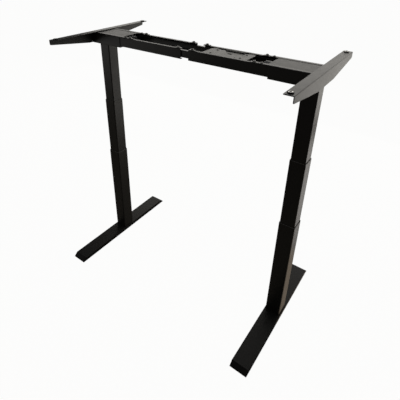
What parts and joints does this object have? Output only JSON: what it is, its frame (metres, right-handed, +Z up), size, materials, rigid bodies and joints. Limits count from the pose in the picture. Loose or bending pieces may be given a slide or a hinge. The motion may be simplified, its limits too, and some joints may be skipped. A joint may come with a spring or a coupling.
{
  "type": "height adjustable desk frame",
  "caption": "Electric sit-stand desk frame: telescoping lift columns on flat feet, a width-adjustable crossbeam and side brackets for a desktop.",
  "frame": {"origin": "on the floor at the middle of the two feet", "axes": "+X along the crossbeam to the right-hand column, +Y towards the rear, +Z up"},
  "size_m": [1.114, 0.7, 1.236],
  "materials": {
    "column_and_foot_steel": "black satin powder coat with a fine texture",
    "beam_steel": "black satin powder coat with a fine texture",
    "link_bar_steel": "black satin powder coat, smoother than the rails",
    "glide_plastic": "moulded black nylon",
    "foot_plastic": "moulded black plastic pad on a steel stud",
    "fastener_steel": "black oxide, worn brighter on its edges",
    "clamp_steel": "black coated steel plate",
    "bare_steel": "drawn steel, lightly oiled",
    "screw_steel": "rolled and greased thread",
    "nut_brass": "turned brass",
    "gearbox_casting": "die-cast housing, dark coat",
    "motor_can": "black coated motor can",
    "grommet_rubber": "soft black rubber",
    "box_plastic": "moulded black plastic, spark-eroded texture"
  },
  "bodies": {
    "left_foot": {"left_foot": "column_and_foot_steel", "left_foot_bolts": "fastener_steel", "left_base_post": "bare_steel", "left_base_nut": "nut_brass", "left_outer_tube": "column_and_foot_steel", "left_outer_collar": "glide_plastic"},
    "left_front_leveller": {"left_front_leveller": "foot_plastic"},
    "left_rear_leveller": {"left_rear_leveller": "foot_plastic"},
    "left_mid_stage": {"left_mid_tube": "column_and_foot_steel", "left_mid_collar": "glide_plastic", "left_mid_shoe": "glide_plastic", "left_stage_carrier": "bare_steel", "left_stage_nut": "nut_brass"},
    "left_stage_screw": {"left_stage_screw": "screw_steel"},
    "left_drive_screw": {"left_drive_screw": "screw_steel"},
    "left_head": {"left_inner_tube": "column_and_foot_steel", "left_inner_shoe": "glide_plastic", "left_head_housing": "beam_steel", "left_head_cover": "beam_steel", "left_gearbox": "gearbox_casting", "left_motor": "motor_can", "left_front_rail": "beam_steel", "left_rear_rail": "beam_steel", "left_rail_clamps": "clamp_steel", "left_head_fasteners": "fastener_steel", "left_side_bracket": "beam_steel", "left_grommets": "grommet_rubber"},
    "right_foot": {"right_foot": "column_and_foot_steel", "right_foot_bolts": "fastener_steel", "right_base_post": "bare_steel", "right_base_nut": "nut_brass", "right_outer_tube": "column_and_foot_steel", "right_outer_collar": "glide_plastic"},
    "right_front_leveller": {"right_front_leveller": "foot_plastic"},
    "right_rear_leveller": {"right_rear_leveller": "foot_plastic"},
    "right_mid_stage": {"right_mid_tube": "column_and_foot_steel", "right_mid_collar": "glide_plastic", "right_mid_shoe": "glide_plastic", "right_stage_carrier": "bare_steel", "right_stage_nut": "nut_brass"},
    "right_stage_screw": {"right_stage_screw": "screw_steel"},
    "right_drive_screw": {"right_drive_screw": "screw_steel"},
    "right_head": {"right_inner_tube": "column_and_foot_steel", "right_inner_shoe": "glide_plastic", "right_head_housing": "beam_steel", "right_head_cover": "beam_steel", "right_gearbox": "gearbox_casting", "right_motor": "motor_can", "right_front_rail": "beam_steel", "right_rear_rail": "beam_steel", "right_rail_clamps": "clamp_steel", "right_head_fasteners": "fastener_steel", "right_side_bracket": "beam_steel", "right_grommets": "grommet_rubber", "control_tray": "beam_steel", "control_box": "box_plastic", "control_box_screws": "fastener_steel"},
    "link_bars": {"front_link_bar": "link_bar_steel", "rear_link_bar": "link_bar_steel", "link_bar_glides": "glide_plastic"}
  },
  "joints": [
    {"name": "left_base_lift", "type": "slide", "parent": "left_foot", "child": "left_mid_stage", "axis": [0, 0, 1], "range_m": [-0.298, 0.012]},
    {"name": "left_head_lift", "type": "slide", "parent": "left_mid_stage", "child": "left_head", "axis": [0, 0, 1], "range_m": [-0.298, 0.012]},
    {"name": "left_width", "type": "slide", "parent": "left_head", "child": "link_bars", "axis": [1, 0, 0], "range_m": [-0.018, 0.23]},
    {"name": "right_width", "type": "slide", "parent": "link_bars", "child": "right_head", "axis": [1, 0, 0], "range_m": [-0.018, 0.23]},
    {"name": "right_head_lift", "type": "slide", "parent": "right_head", "child": "right_mid_stage", "axis": [0, 0, 1], "range_m": [-0.012, 0.298]},
    {"name": "right_base_lift", "type": "slide", "parent": "right_mid_stage", "child": "right_foot", "axis": [0, 0, 1], "range_m": [-0.012, 0.298]},
    {"name": "left_stage_screw_spin", "type": "hinge", "parent": "left_mid_stage", "child": "left_stage_screw", "pos_m": [-0.514, 0.02, 1], "axis": [0, 0, 1], "range_deg": [-6715, 280]},
    {"name": "left_drive_screw_spin", "type": "hinge", "parent": "left_head", "child": "left_drive_screw", "pos_m": [-0.514, 0.02, 1], "axis": [0, 0, 1], "range_deg": [-6715, 280]},
    {"name": "left_front_leveller_travel", "type": "slide", "parent": "left_foot", "child": "left_front_leveller", "axis": [0, 0, -1], "range_m": [0, 0.008]},
    {"name": "left_rear_leveller_travel", "type": "slide", "parent": "left_foot", "child": "left_rear_leveller", "axis": [0, 0, -1], "range_m": [0, 0.008]},
    {"name": "right_stage_screw_spin", "type": "hinge", "parent": "right_mid_stage", "child": "right_stage_screw", "pos_m": [0.514, 0.02, 1], "axis": [0, 0, 1], "range_deg": [-6715, 280]},
    {"name": "right_drive_screw_spin", "type": "hinge", "parent": "right_head", "child": "right_drive_screw", "pos_m": [0.514, 0.02, 1], "axis": [0, 0, 1], "range_deg": [-6715, 280]},
    {"name": "right_front_leveller_travel", "type": "slide", "parent": "right_foot", "child": "right_front_leveller", "axis": [0, 0, -1], "range_m": [0, 0.008]},
    {"name": "right_rear_leveller_travel", "type": "slide", "parent": "right_foot", "child": "right_rear_leveller", "axis": [0, 0, -1], "range_m": [0, 0.008]}
  ],
  "couplings": [
    {"joint": "left_head_lift", "follows": "left_base_lift", "ratio": 1},
    {"joint": "right_head_lift", "follows": "left_base_lift", "ratio": -1},
    {"joint": "right_base_lift", "follows": "left_base_lift", "ratio": -1},
    {"joint": "left_stage_screw_spin", "follows": "left_base_lift", "rad_per_m": 392.7},
    {"joint": "left_drive_screw_spin", "follows": "left_base_lift", "rad_per_m": 392.7},
    {"joint": "right_stage_screw_spin", "follows": "left_base_lift", "rad_per_m": 392.7},
    {"joint": "right_drive_screw_spin", "follows": "left_base_lift", "rad_per_m": 392.7}
  ]
}
